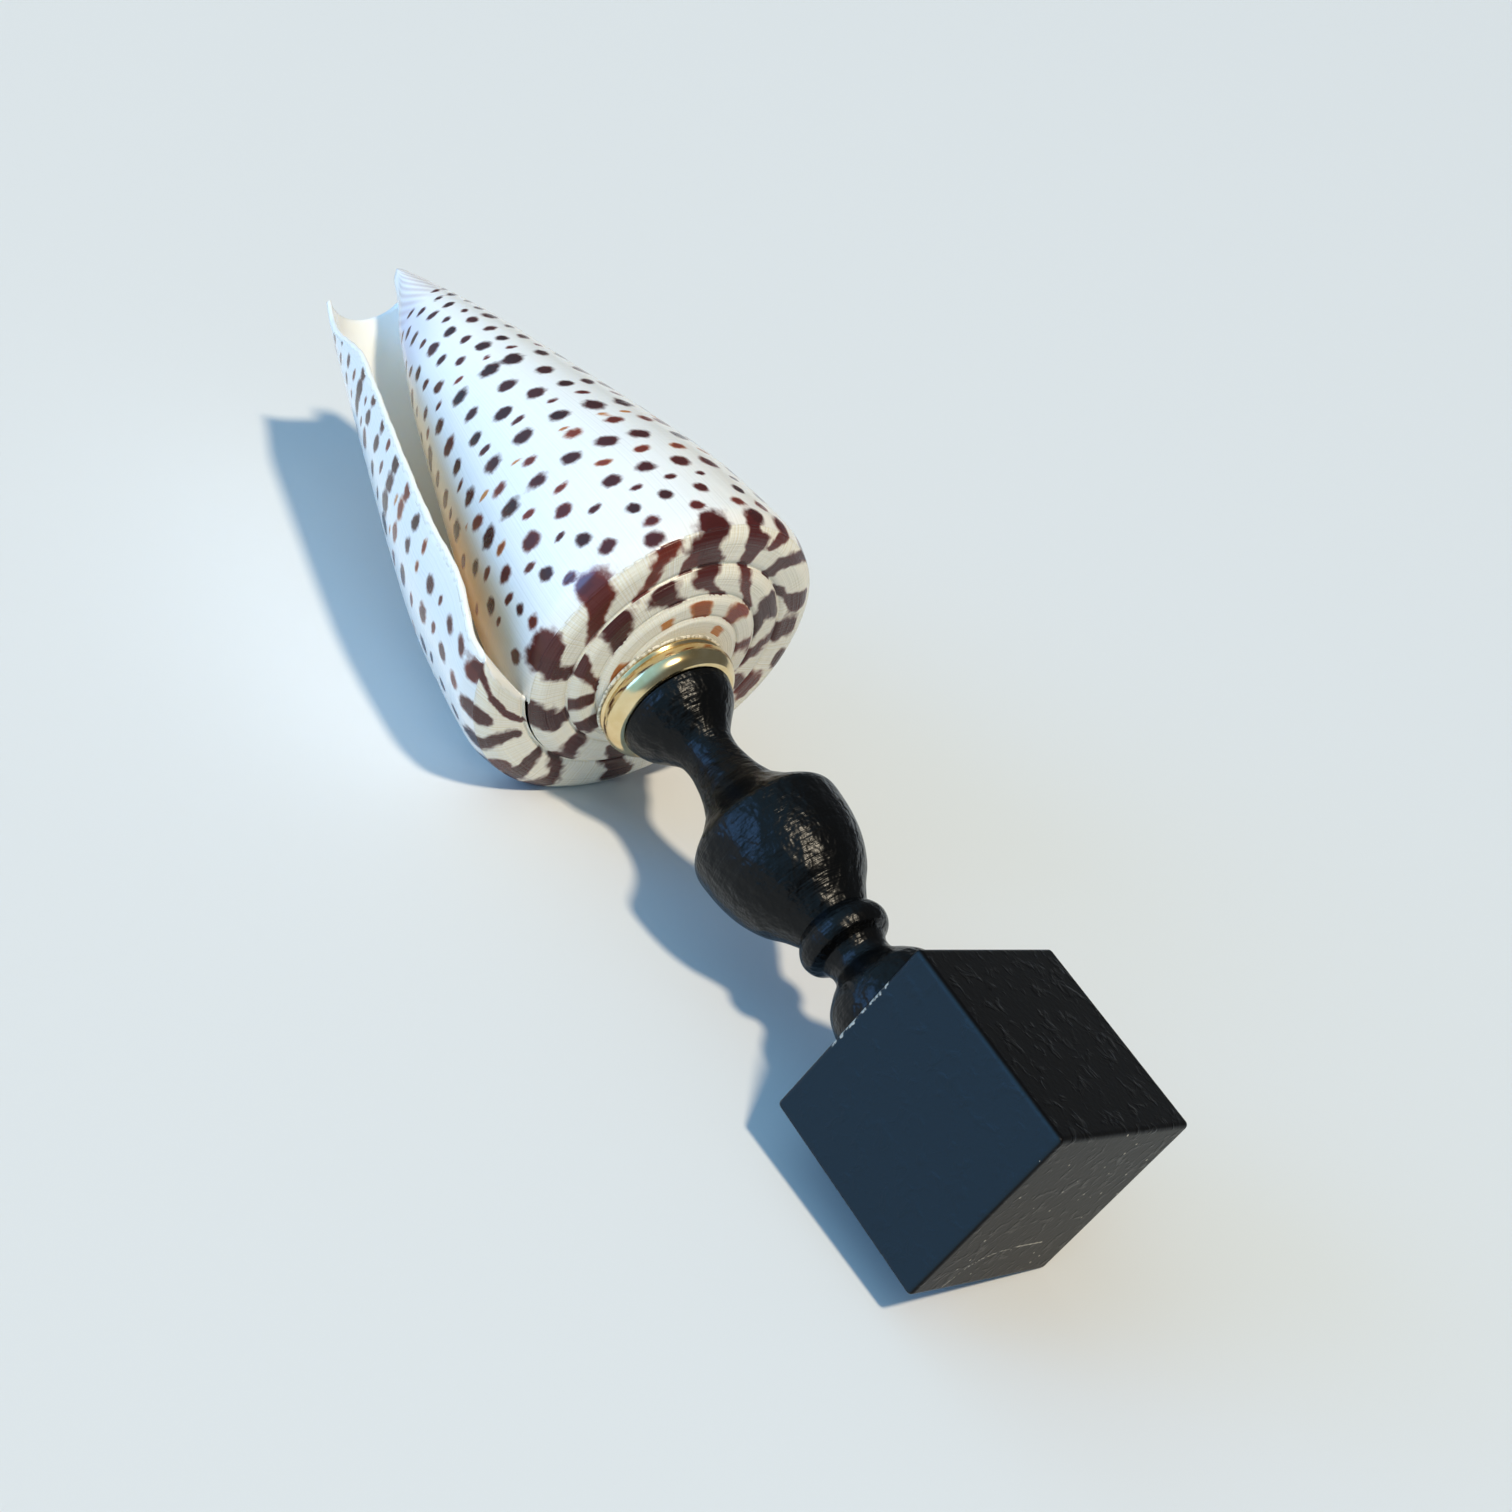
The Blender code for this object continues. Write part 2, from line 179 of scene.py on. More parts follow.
def side_points(back, depth, wall):
    """Return points on the shell's side, a wall's thickness inside its outer surface."""
    curl = CURL_ANGLE * smooth_step((depth - CURL_START) / CURL_LENGTH)
    turned = back + curl * np.maximum(0.0, 1.0 - back / CURL_REACH)
    retreat = RETREAT_ANGLE * smooth_step((RETREAT_DEPTH - depth) / (RETREAT_DEPTH - CORNER_DEPTH))
    wave = LIP_WAVE * (np.sin(depth * 0.55) + np.sin(depth * 1.27 + 1.0))
    turned = turned + (retreat + wave) * np.maximum(0.0, 1.0 - back / NOTCH_REACH)
    scale = whorl_scale(turned)
    radius = scale * curve_value(FLANK, depth / scale)
    lean_share = smooth_step((depth - PILLAR_LEAN_START) / PILLAR_LEAN_LENGTH)
    pillar = PILLAR_RADIUS + (PILLAR_TIP_RADIUS - PILLAR_RADIUS) * lean_share ** 2
    radius = (radius ** 4 + pillar ** 4) ** 0.25 - wall
    side = math.radians(PILLAR_SIDE_AZIMUTH)
    shift = PILLAR_SIDE_SHIFT * lean_share * smooth_step((back - PILLAR_BACK_START) / PILLAR_BACK_LENGTH)
    toward_side = np.array([math.cos(side), math.sin(side), 0.0])
    return around_shell(turned, radius, depth) + shift[..., None] * toward_side


def wall_thickness(back, share):
    """Return the wall's thickness: thin at the lip and at the rim, thicker inside."""
    wall = LIP_WALL + (INNER_WALL - LIP_WALL) * smooth_step(back / WALL_REACH)
    return wall + (RIM_WALL - wall) * smooth_step((share - 0.85) / 0.15)


class Patchwork:
    """Grids of points that are joined into one surface, with marks that the paint is worked out from."""

    def __init__(self):
        self.points, self.faces, self.marks, self.count = [], [], [], 0

    def add_grid(self, grid, turn, row, zone):
        """Add a grid of points and its faces. turn, row and zone are the marks of each point."""
        across, down = grid.shape[:2]
        index = np.arange(across * down).reshape(across, down) + self.count
        corners = (index[:-1, :-1], index[:-1, 1:], index[1:, 1:], index[1:, :-1])
        self.faces.append(np.stack(corners, axis=-1).reshape(-1, 4))
        self.points.append(grid.reshape(-1, 3))
        marks = [np.broadcast_to(mark, (across, down)).reshape(-1) for mark in (turn, row, zone)]
        self.marks.append(np.stack(marks, axis=-1))
        self.count += across * down


# Zones of the shell: 0 is its patterned outside, 1 its spire, 2 its bare inside and edges
OUTSIDE, SPIRE, INSIDE = 0.0, 1.0, 2.0
ROW_GROWTH = 0.77
patchwork = Patchwork()
spire_back = np.arange(0.0, 360.0 * SPIRE_TURNS + 0.1, COLUMN_STEP)[:, None]
patchwork.add_grid(ramp_points(spire_back, RAMP_SHARES[None, :]), spire_back, RAMP_SHARES[None, :], SPIRE)

flank_shares = np.linspace(0.0, 1.0, FLANK_ROWS + 1)[None, :] ** FLANK_CROWDING
whorl_back = np.arange(0.0, FLOOR_START + 0.1, COLUMN_STEP)[:, None]
floor_back = np.arange(FLOOR_START, 360.1 + SLIT_TURN, COLUMN_STEP)[:, None]
for backs, first in ((whorl_back, 0), (floor_back, FLOOR_ROW)):
    depths = flank_depth(backs, flank_shares[:, first:])
    rows = depths / whorl_scale(backs) ** ROW_GROWTH
    patchwork.add_grid(side_points(backs, depths, 0.0), backs, rows, OUTSIDE)
floor_points = patchwork.points[-1].reshape(len(floor_back), -1, 3)
lip_outer = np.concatenate([patchwork.points[0].reshape(len(spire_back), -1, 3)[0],
                            patchwork.points[1].reshape(len(whorl_back), -1, 3)[0, 1:]])
whorl_rim = patchwork.points[1].reshape(len(whorl_back), -1, 3)[:, -1]

# Inside of the lip's wall, row for row under the outside: first the ceiling, then the side
slit_back = np.arange(0.0, 0.1 + SLIT_TURN, COLUMN_STEP)[:, None]
slit_scale = whorl_scale(slit_back)
inner_side_start = CORNER_DEPTH * slit_scale + CEILING_DROP * slit_scale
inner_depths = inner_side_start + (curve_value(RIM, slit_back) - inner_side_start) * flank_shares
inner_side = side_points(slit_back, inner_depths, wall_thickness(slit_back, flank_shares))
slide = (NOTCH_ANGLE + RETREAT_ANGLE) * np.maximum(0.0, 1.0 - slit_back / NOTCH_REACH)
ceiling_back = 360.0 + slit_back + slide
ceiling_start = side_points(ceiling_back, flank_depth(ceiling_back, flank_shares[0, FLOOR_ROW]), 0.0)[:, 0]
ceiling_end = inner_side[:, 0]
ceiling_share = RAMP_SHARES[None, :-1, None] ** 1.15
ceiling = ceiling_start[:, None] + (ceiling_end - ceiling_start)[:, None] * ceiling_share
arch = np.sin(RAMP_SHARES[:-1] * math.pi)[None, :] ** 0.8 * CEILING_INSET * slit_scale
ceiling[..., 2] -= arch
inner = np.concatenate([ceiling, inner_side], axis=1)
patchwork.add_grid(inner[:, ::-1], slit_back, 0.0, INSIDE)

# Rounded edges: along the lip and round the narrow end's rim
EDGE_STEPS = np.linspace(0.0, math.pi, 6)
LIP_BULGE = 0.7
RIM_BULGE = 0.35
lip_inner = inner[0]
lip_middle, lip_half = (lip_outer + lip_inner) / 2, (lip_outer - lip_inner) / 2
forward_angle = math.radians(LIP_AZIMUTH + 90.0)
forward = np.array([math.cos(forward_angle), math.sin(forward_angle), 0.0])
lip_bulge = np.minimum(np.linalg.norm(lip_half, axis=1), LIP_BULGE)[:, None] * forward
lip_edge = np.stack([lip_middle + lip_half * math.cos(a) + lip_bulge * math.sin(a) for a in EDGE_STEPS])
patchwork.add_grid(lip_edge, 0.0, 0.0, INSIDE)
rim_outer, rim_inner = whorl_rim[:len(slit_back)], inner[:, -1]
rim_middle, rim_half = (rim_outer + rim_inner) / 2, (rim_outer - rim_inner) / 2
rim_edge = np.stack([rim_middle + rim_half * math.cos(a) + np.array([0.0, 0.0, RIM_BULGE * math.sin(a)])
                     for a in EDGE_STEPS])
patchwork.add_grid(rim_edge[::-1], slit_back.T, 0.0, INSIDE)

# End of the slit, and the narrow end's tip round the columella
side_rows = FLANK_ROWS + 1 - FLOOR_ROW
end_wall = np.stack([inner[-1, -side_rows:], floor_points[-1]])
patchwork.add_grid(end_wall, SLIT_TURN, 0.0, INSIDE)
ceiling_end_wall = np.stack([inner[-1, :-side_rows + 1],
                             np.repeat(floor_points[-1, :1], inner.shape[1] - side_rows + 1, axis=0)])
patchwork.add_grid(ceiling_end_wall, SLIT_TURN, 0.0, INSIDE)
crest_azimuth, crest_shift, crest_depth = PILLAR_CREST
crest = np.array([SHELL_X + crest_shift * math.cos(math.radians(crest_azimuth)),
                  SHELL_Y + crest_shift * math.sin(math.radians(crest_azimuth)), APEX_HEIGHT + crest_depth])
tip_rim = np.concatenate([whorl_rim[len(slit_back) - 1:], floor_points[1:, -1], inner[-1:, -1]])
tip_rim = np.concatenate([tip_rim, tip_rim[:1]])
tip_steps = np.linspace(0.0, 1.0, 6)
tip = tip_rim[None] + (crest - tip_rim)[None] * tip_steps[:, None, None]
patchwork.add_grid(tip, 300.0, 130.0, INSIDE)
seat_rim = patchwork.points[0].reshape(len(spire_back), -1, 3)[-int(360 / COLUMN_STEP) - 1:, 0]
seat_centre = around_shell(np.array(0.0), np.array(0.0), np.array(0.0))
seat = np.stack([seat_rim, np.repeat(seat_centre[None], len(seat_rim), axis=0)])
patchwork.add_grid(seat, 1700.0, 0.5, SPIRE)

# Brown spots, in rows that follow the whorl. Each row is (its place in mm at the lip, half a spot's
# length along the row, half its width, how rusty it is, angles back near the lip and on the face).
SPOT_ROWS = [
    (10.8, 1.90, 1.60, 0.25, (7, 22, 37), (252, 266, 287, 307, 334, 360)),
    (15.3, 1.30, 1.10, 0.35, (6, 19.5, 34), (258, 269, 287, 304.5, 321, 337.5, 358, 374)),
    (20.8, 1.20, 1.20, 0.15, (9, 20, 33), (262.5, 280, 294, 306.5, 326, 343, 359.5)),
    (25.9, 1.20, 0.66, 0.30, (9.5, 19, 31), (257, 274, 287, 300.5, 316.5, 332, 347, 362, 372)),
    (30.9, 1.60, 1.30, 0.20, (10.5, 21.5, 34), (263, 277, 291.5, 306, 326, 342, 357.5, 372)),
    (37.2, 1.45, 0.80, 0.60, (5.5, 13, 25), (256, 270, 287, 303.5, 321, 336.5, 353, 365.5, 384)),
    (43.3, 1.70, 1.30, 0.10, (5, 13, 25), (260, 281, 295.5, 311, 326.5, 341.5, 356.5, 371)),
    (50.5, 1.70, 1.15, 0.55, (2.5, 9, 18.5, 29), (257, 267.5, 284, 303, 324, 341.5, 358, 379)),
    (53.7, 1.10, 0.42, 1.00, (10.5, 22.5), (285.5, 305, 329, 349, 366)),
    (58.6, 1.80, 1.45, 0.00, (3, 10, 18.5, 27.5), (267, 283.5, 301, 320.5, 337.5, 356.5, 374.5)),
    (64.7, 1.30, 0.64, 0.35, (2.8, 12.5, 24), (260, 281, 298, 317, 338, 359, 376)),
    (70.0, 1.55, 1.05, 0.10, (1, 10.5, 21), (269, 283, 301, 320.5, 339, 356, 376)),
    (77.7, 1.60, 1.10, 0.15, (0.5, 10, 21), (258.5, 284, 308, 333.5, 355.5, 378)),
    (81.4, 0.90, 0.50, 0.30, (7.5, 18), ()),
    (86.0, 1.85, 1.30, 0.00, (0, 9, 17.5), (271, 293, 309.5, 334, 355.5, 380)),
    (91.0, 1.15, 0.58, 0.40, (10, 20), (263, 286.5, 305, 328, 349, 370)),
    (95.8, 1.25, 0.90, 0.10, (8, 18.5), (265, 284, 300.5, 319.5, 342.5, 364, 385)),
    (101.6, 1.20, 0.68, 0.10, (0.5, 13), (263, 283, 305, 330, 352, 376)),
    (107.7, 1.35, 1.05, 0.05, (4, 17), (266, 286.5, 310, 330.5, 355, 379)),
    (112.9, 1.10, 0.64, 0.15, (8, 24), (262, 282, 303.5, 335.5, 364)),
    (118.0, 1.40, 0.60, 0.10, (6, 26), (257, 286.5, 310, 341.5, 372)),
    (122.8, 1.35, 0.56, 0.10, (12, 34), (261, 287, 316, 344)),
    (126.4, 1.30, 0.46, 0.15, (20, 44), (277, 327, 362)),
]
SPOT_LIMIT = 388.0
SPOT_GROWTH = 1.24
LIP_SPOTS = 1.05
HIDDEN_SPACING = 15.0
TIP_SPACING = 11.0
# Brown blotches across the tops of the whorls, as angles back at the suture, half way and at the
# shoulder, half a width in degrees, the shares of the way where each starts and ends, and its rust
BLOTCHES = [
    (21, 13, 4, 2.4, 0.10, 1.00, 0.3), (22, 22, 22, 3.0, 0.80, 1.00, 0.2),
    (31, 34, 38, 4.2, 0.25, 1.00, 0.1), (52, 53, 54, 3.8, 0.80, 1.00, 0.3),
    (57, 61, 66, 3.2, 0.15, 1.00, 0.1), (70, 77, 77, 4.2, 0.00, 1.00, 0.1),
    (100, 107, 105, 5.5, 0.00, 0.72, 0.1), (126, 130, 127, 4.2, 0.00, 1.00, 0.2),
    (148, 146, 151, 4.4, 0.10, 1.00, 0.2), (167, 169, 170, 6.0, 0.00, 0.45, 0.4),
    (199, 200, 202, 5.0, 0.00, 0.55, 0.2), (185, 184, 181, 4.0, 0.60, 1.00, 0.2),
    (229, 214, 214, 4.2, 0.00, 0.78, 0.2), (245, 242, 233, 3.8, 0.00, 1.00, 0.2),
    (263, 263, 262, 3.6, 0.00, 0.85, 0.3), (262, 258, 251, 2.6, 0.62, 1.00, 0.4),
    (264, 266, 268, 3.0, 0.60, 1.00, 0.3), (283, 289, 286, 5.2, 0.00, 1.00, 0.2),
    (297, 293, 289, 3.0, 0.00, 0.52, 0.4), (319, 312, 305, 4.2, 0.00, 0.97, 0.5),
    (350, 340, 332, 5.2, 0.12, 1.00, 0.4), (357, 359, 361, 5.0, 0.72, 1.00, 0.3),
    (372, 370, 365, 4.5, 0.10, 1.00, 0.2), (400, 399, 392, 6.0, 0.10, 1.00, 0.1),
    (423, 427, 432, 5.5, 0.05, 1.00, 0.2), (453, 458, 465, 5.0, 0.25, 1.00, 0.1),
    (486, 488, 492, 5.5, 0.00, 1.00, 0.2), (510, 512, 508, 5.0, 0.00, 0.80, 0.2),
    (531, 531, 527, 4.2, 0.20, 0.95, 0.3), (545, 556, 562, 5.2, 0.00, 1.00, 0.3),
    (572, 586, 582, 8.2, 0.00, 0.86, 0.1), (600, 616, 620, 5.2, 0.00, 1.00, 0.4),
    (632, 645, 645, 5.8, 0.00, 1.00, 0.3), (664, 668, 669, 6.2, 0.00, 0.87, 0.2),
    (705, 699, 696, 7.6, 0.05, 0.95, 0.2), (740, 732, 725, 5.5, 0.00, 1.00, 0.3),
    (751, 752, 753, 4.2, 0.15, 1.00, 0.2), (775, 775, 776, 5.5, 0.10, 1.00, 0.2),
    (808, 812, 810, 6.0, 0.00, 1.00, 0.3), (850, 848, 852, 6.5, 0.00, 0.90, 0.4),
    (888, 890, 892, 6.0, 0.10, 1.00, 0.4), (925, 926, 926, 6.5, 0.00, 0.80, 0.4),
    (966, 966, 964, 8.0, 0.00, 0.85, 0.7), (999, 1003, 1006, 6.5, 0.00, 0.75, 0.8),
    (1032, 1033, 1034, 5.0, 0.10, 0.48, 1.0), (1085, 1086, 1088, 7.0, 0.05, 0.50, 0.9),
    (1140, 1141, 1140, 7.0, 0.10, 0.60, 0.8), (1200, 1202, 1204, 7.0, 0.10, 0.55, 0.9),
    (1262, 1262, 1264, 7.0, 0.10, 0.60, 0.9), (1330, 1332, 1330, 7.0, 0.10, 0.55, 1.0),
]
BLOTCH_GROWTH = 1.22
SHOULDER_ROW = 8.6
SHOULDER_BLOTCH = 4.2
CLEAR = 4.0
# How far from its middle a spot or a blotch is worked out, in mm of row and degrees of turn
SPOT_REACH = 6.0
BLOTCH_REACH = 45.0
SHOULDER_REACH = 20.0

points = np.concatenate(patchwork.points)
turn, row, zone = np.concatenate(patchwork.marks).T
spot = np.full(len(points), CLEAR)
rust = np.full(len(points), 0.2)
dice = np.random.default_rng(7)
outside = zone == OUTSIDE


def mark_nearest(where, closeness, rustiness):
    """Keep the closeness to a spot's middle, and its rust, at each point where it is the nearest."""
    nearer = closeness < spot[where]
    chosen = where[nearer]
    spot[chosen] = closeness[nearer]
    rust[chosen] = rustiness


for place, half_length, half_width, rustiness, near_lip, on_face in SPOT_ROWS:
    angles = [(angle, rustiness) for angle in near_lip + on_face]
    gap_start, gap_end = near_lip[-1], (on_face[0] if on_face else 150.0)
    spacing = HIDDEN_SPACING + TIP_SPACING * smooth_step((place - 75.0) / 45.0)
    between = int(round((gap_end - gap_start) / spacing))
    for step in range(1, between):
        angle = gap_start + (gap_end - gap_start) * (step + dice.uniform(-0.24, 0.24)) / between
        angles.append((angle, rustiness))
    where = np.flatnonzero(outside & (np.abs(row - place) < SPOT_REACH) & (turn < SPOT_LIMIT + 10.0))
    scale = whorl_scale(turn[where])
    arm = scale * curve_value(FLANK, row[where] / scale ** (1.0 - ROW_GROWTH))
    for angle, rustiness in angles:
        growth_there = LIP_SPOTS if angle < 90.0 else min(whorl_scale(angle - 310.0), LIP_SPOTS)
        size = SPOT_GROWTH * growth_there * dice.uniform(0.84, 1.14)
        skew = dice.uniform(-0.12, 0.12)
        along = np.radians(turn[where] - angle) * arm
        across = (row[where] - place) * scale ** ROW_GROWTH + skew * along + dice.uniform(-0.15, 0.15)
        closeness = np.hypot(along / (half_length * size), across / (half_width * size))
        mark_nearest(where, closeness, np.clip(rustiness + dice.uniform(-0.12, 0.18), 0.0, 1.0))

for at_suture, at_middle, at_shoulder, half_width, start, end, rustiness in BLOTCHES:
    path = [(0.0, at_suture), (0.5, at_middle), (1.0, at_shoulder)]
    half_width = half_width * BLOTCH_GROWTH
    where = np.flatnonzero((zone == SPIRE) & (np.abs(turn - at_middle) < BLOTCH_REACH))
    beyond = np.maximum(np.maximum(start - row[where], row[where] - end), 0.0) * 10.0
    sideways = np.abs(turn[where] - curve_value(path, row[where])) / half_width
    mark_nearest(where, np.hypot(sideways, beyond), rustiness)
    if end == 1.0 and at_shoulder < 370.0:
        where = np.flatnonzero(outside & (np.abs(turn - at_shoulder) < SHOULDER_REACH) & (row < 16.0))
        down = np.maximum(row[where] - SHOULDER_ROW, 0.0) / SHOULDER_BLOTCH
        sideways = (turn[where] - at_shoulder) / (half_width * 1.15)
        mark_nearest(where, np.hypot(sideways, down), rustiness)
# The spots stop at the slit's shaded floor
spot = np.where(outside & (turn > SPOT_LIMIT), CLEAR, spot)

# Natural tints: an orange stain along the slit's far side, beige round it, lavender and fine pinkish
# lines near the narrow end. Each is a share from 0 to 1.


def band(values, rise_start, rise_end, fall_start, fall_end):
    """Return 1 between two soft ends, 0 outside them."""
    return smooth_step((values - rise_start) / (rise_end - rise_start)) * smooth_step(
        (fall_end - values) / (fall_end - fall_start))


orange = outside * smooth_step((turn - 360.0) / 22.0) * band(row, 20.0, 42.0, 54.0, 74.0)
beige = outside * smooth_step((turn - 352.0) / 26.0) * band(row, 10.0, 26.0, 96.0, 124.0)
lavender = outside * band(turn, 296.0, 330.0, 366.0, 384.0) * band(row, 104.0, 122.0, 128.0, 140.0)
lines = outside * band(row, 124.0, 130.0, 141.0, 147.0) * (0.5 + 0.5 * np.sin(row * 4.4))
bare = outside * np.maximum(smooth_step((row - 143.0) / 3.0), smooth_step((0.9 - turn) / 0.9))

shell_mesh = bpy.data.meshes.new("cone_shell")
shell_low, shell_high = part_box("shell")
in_box = np.clip(lay_down(points), np.array(shell_low), np.array(shell_high))
shell_mesh.from_pydata(in_box.tolist(), [], np.concatenate(patchwork.faces).tolist())
marked = (("spot", spot), ("rust", rust), ("turn", turn), ("row", row), ("zone", zone), ("orange", orange),
          ("beige", beige), ("lavender", lavender), ("lines", lines), ("bare", bare))
for name, values in marked:
    shell_mesh.attributes.new(name, "FLOAT", "POINT").data.foreach_set("value", values.astype(np.float32))
WELD_DISTANCE = 0.00001
form = bmesh.new()
form.from_mesh(shell_mesh)
bmesh.ops.remove_doubles(form, verts=form.verts, dist=WELD_DISTANCE)
bmesh.ops.dissolve_degenerate(form, edges=form.edges, dist=WELD_DISTANCE / 2)
bmesh.ops.recalc_face_normals(form, faces=form.faces)
form.to_mesh(shell_mesh)
form.free()
shell_mesh.shade_smooth()
cone_shell = bpy.data.objects.new("cone_shell", shell_mesh)
bpy.context.scene.collection.objects.link(cone_shell)


def paint(hex_colour):
    """Turn an sRGB hex colour to the linear colour that a shader takes."""
    values = [int(hex_colour[i:i + 2], 16) / 255.0 for i in (1, 3, 5)]
    return tuple(v / 12.92 if v <= 0.04045 else ((v + 0.055) / 1.055) ** 2.4 for v in values) + (1.0,)


def add_node(tree, kind, settings=None, links=None):
    """Add a node with its settings, by property or socket name, and its links from other sockets."""
    node = tree.nodes.new(kind)
    for name, value in (settings or {}).items():
        if isinstance(name, str) and hasattr(node, name):
            setattr(node, name, value)
        else:
            node.inputs[name].default_value = value
    for name, socket in (links or {}).items():
        tree.links.new(socket, node.inputs[name])
    return node


def new_finish(name):
    """Return a new material, its node tree and its shader."""
    material = bpy.data.materials.new(name)
    material.use_nodes = True
    return material, material.node_tree, material.node_tree.nodes["Principled BSDF"]


# Polished aragonite: hard, dense and glossy. It lets a little light through, so the thin wall
# glows and the spots look soft. Fine lines of growth run across the whorls under the gloss.
aragonite, tree, shader = new_finish("polished_aragonite")
shader.inputs["IOR"].default_value = 1.53
shader.inputs["Subsurface Weight"].default_value = 0.28
shader.inputs["Subsurface Radius"].default_value = (1.0, 0.86, 0.7)
shader.inputs["Subsurface Scale"].default_value = 0.0022
mark = {name: add_node(tree, "ShaderNodeAttribute", {"attribute_name": name}).outputs["Fac"]
        for name, _ in marked}
place = add_node(tree, "ShaderNodeTexCoord").outputs["Object"]
on_spire = add_node(tree, "ShaderNodeMath", {"operation": "COMPARE", 1: SPIRE, 2: 0.5},
                    {0: mark["zone"]}).outputs[0]
on_inside = add_node(tree, "ShaderNodeMath", {"operation": "GREATER_THAN", 1: 1.5},
                     {0: mark["zone"]}).outputs[0]

# Growth lines about a degree apart, and spiral lines about a millimetre apart
growth_place = add_node(tree, "ShaderNodeMath", {"operation": "MULTIPLY", 1: 1.3}, {0: mark["turn"]})
growth = add_node(tree, "ShaderNodeTexNoise", {"noise_dimensions": "1D", "Scale": 1.0, "Detail": 4.0},
                  {"W": growth_place.outputs[0]}).outputs["Fac"]
ridges = add_node(tree, "ShaderNodeMapRange", {"To Min": 0.9, "To Max": 13.0}, {"Value": on_spire})
spiral_place = add_node(tree, "ShaderNodeMath", {"operation": "MULTIPLY"},
                        {0: mark["row"], 1: ridges.outputs[0]})
spiral = add_node(tree, "ShaderNodeTexNoise", {"noise_dimensions": "1D", "Scale": 1.0, "Detail": 3.0},
                  {"W": spiral_place.outputs[0]}).outputs["Fac"]

# The pigment's edge: ragged over about 1.5 mm, and drawn out over 5 mm, most of all on the spire
ragged = add_node(tree, "ShaderNodeTexNoise", {"Scale": 1 / 0.0015, "Detail": 3.0}, {"Vector": place})
drawn_out = add_node(tree, "ShaderNodeTexNoise", {"Scale": 1 / 0.005, "Detail": 2.0}, {"Vector": place})
off_middle = [add_node(tree, "ShaderNodeMath", {"operation": "SUBTRACT", 1: 0.5}, {0: cloud.outputs["Fac"]})
              for cloud in (ragged, drawn_out)]
pull = add_node(tree, "ShaderNodeMapRange", {"To Min": 0.9, "To Max": 2.4}, {"Value": on_spire})
drawn = add_node(tree, "ShaderNodeMath", {"operation": "MULTIPLY_ADD"},
                 {0: off_middle[1].outputs[0], 1: pull.outputs[0], 2: mark["spot"]})
edge = add_node(tree, "ShaderNodeMath", {"operation": "MULTIPLY_ADD", 1: 0.7},
                {0: off_middle[0].outputs[0], 2: drawn.outputs[0]}).outputs[0]
pigment = add_node(tree, "ShaderNodeMapRange", {"interpolation_type": "SMOOTHSTEP", "From Min": 1.3,
                   "From Max": 0.68}, {"Value": edge}).outputs[0]
thin_edge = add_node(tree, "ShaderNodeMapRange", {"From Min": 0.5, "From Max": 1.2},
                     {"Value": edge}).outputs[0]
rusty = add_node(tree, "ShaderNodeMath", {"operation": "MULTIPLY_ADD", 1: 0.34, "use_clamp": True},
                 {0: thin_edge, 2: mark["rust"]})
pigment_colour = add_node(tree, "ShaderNodeValToRGB", {}, {"Fac": rusty.outputs[0]})
stops = pigment_colour.color_ramp.elements
stops[0].position, stops[0].color = 0.0, paint("#35130f")
stops[1].position, stops[1].color = 1.0, paint("#c98246")
for position, colour in ((0.35, "#551d1a"), (0.72, "#86351f")):
    stop = stops.new(position)
    stop.color = paint(colour)

# Under the pigment: white on the side, cream on the spire, then the tints one over the other
white = add_node(tree, "ShaderNodeValToRGB", {}, {"Fac": growth})
white.color_ramp.elements[0].position, white.color_ramp.elements[0].color = 0.3, paint("#f3ede3")
white.color_ramp.elements[1].position, white.color_ramp.elements[1].color = 0.6, paint("#fcf6ed")
cream = add_node(tree, "ShaderNodeValToRGB", {}, {"Fac": growth})
cream.color_ramp.elements[0].position, cream.color_ramp.elements[0].color = 0.32, paint("#f2e8cf")
cream.color_ramp.elements[1].position, cream.color_ramp.elements[1].color = 0.62, paint("#fffaee")
under = add_node(tree, "ShaderNodeMix", {"data_type": "RGBA"},
                 {0: on_spire, 6: white.outputs["Color"], 7: cream.outputs["Color"]})
for name, strength, colour in (("beige", 0.8, "#f0e2c6"), ("orange", 0.85, "#eeb568"),
                               ("lavender", 0.55, "#cdcbe0"), ("lines", 0.5, "#b99fa4")):
    share = add_node(tree, "ShaderNodeMath", {"operation": "MULTIPLY", 1: strength}, {0: mark[name]})
    under = add_node(tree, "ShaderNodeMix", {"data_type": "RGBA", 7: paint(colour)},
                     {0: share.outputs[0], 6: under.outputs[2]})
lined = add_node(tree, "ShaderNodeMix", {"data_type": "RGBA", 7: paint("#fcf6ec")},
                 {0: on_inside, 6: under.outputs[2]})
not_bare = add_node(tree, "ShaderNodeMath", {"operation": "SUBTRACT", 0: 1.0}, {1: mark["bare"]})
covered = add_node(tree, "ShaderNodeMath", {"operation": "MULTIPLY"}, {0: pigment, 1: not_bare.outputs[0]})
coloured = add_node(tree, "ShaderNodeMix", {"data_type": "RGBA"},
                    {0: covered.outputs[0], 6: lined.outputs[2], 7: pigment_colour.outputs["Color"]})
tree.links.new(coloured.outputs[2], shader.inputs["Base Color"])

